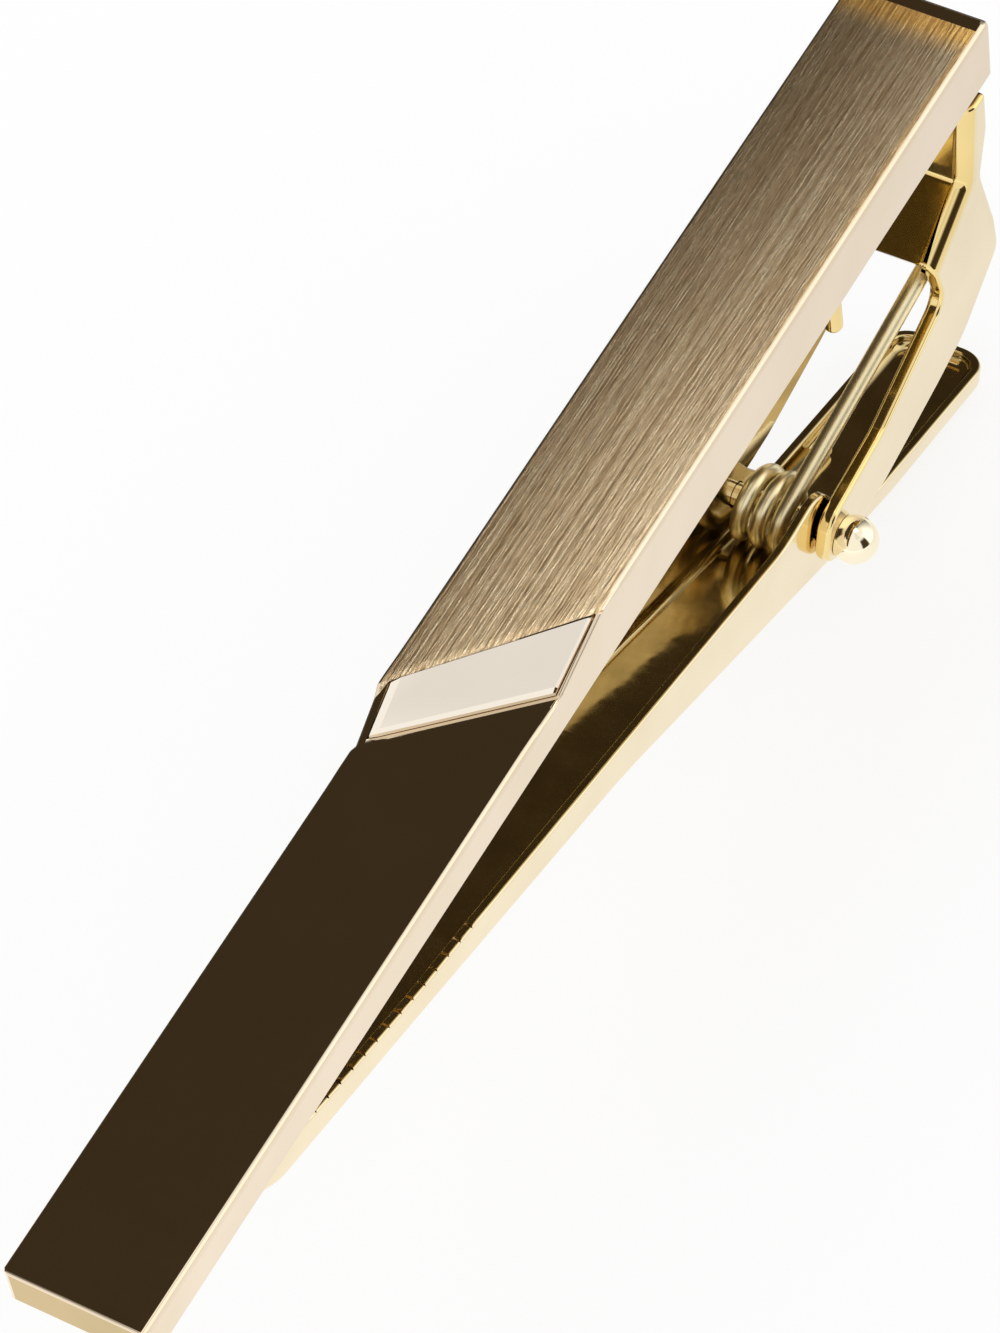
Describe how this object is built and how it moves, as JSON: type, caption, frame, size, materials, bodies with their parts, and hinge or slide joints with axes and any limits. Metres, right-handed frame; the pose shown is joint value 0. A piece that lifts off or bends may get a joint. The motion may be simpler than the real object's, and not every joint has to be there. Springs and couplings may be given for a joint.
{
  "type": "tie clip",
  "caption": "Sprung tie clip: a two-level bar with a slanting bright inset, and a hinged jaw lever with a thumb tail behind it that pinches a tie to a shirt",
  "frame": {"origin": "middle of the bar's flat back face", "axes": "+X along the bar to the hinge bracket, +Y across the bar's width, +Z out of the front face, away from the jaw lever"},
  "size_m": [0.06, 0.0084, 0.021],
  "materials": {
    "bar_gold": "gold plated, one half brushed lengthwise and one half polished",
    "bright_silver": "polished silver colour",
    "polished_gold": "polished gold plate",
    "spring_gold": "bright gold plated spring wire"
  },
  "bodies": {
    "bar": {"front_bar": "bar_gold", "silver_inset": "bright_silver", "stop_peg": "polished_gold", "hinge_bracket": "polished_gold", "pivot_pin": "polished_gold", "torsion_spring": "spring_gold"},
    "jaw": {"jaw_lever": "polished_gold"}
  },
  "joints": [
    {"name": "jaw_hinge", "type": "hinge", "parent": "bar", "child": "jaw", "pos_m": [0.0165, 0, -0.01215], "axis": [0, -1, 0], "range_deg": [0, 30], "stiffness_Nm_per_rad": 0.06, "springref_deg": -57.3, "deforming": ["torsion_spring"]}
  ]
}
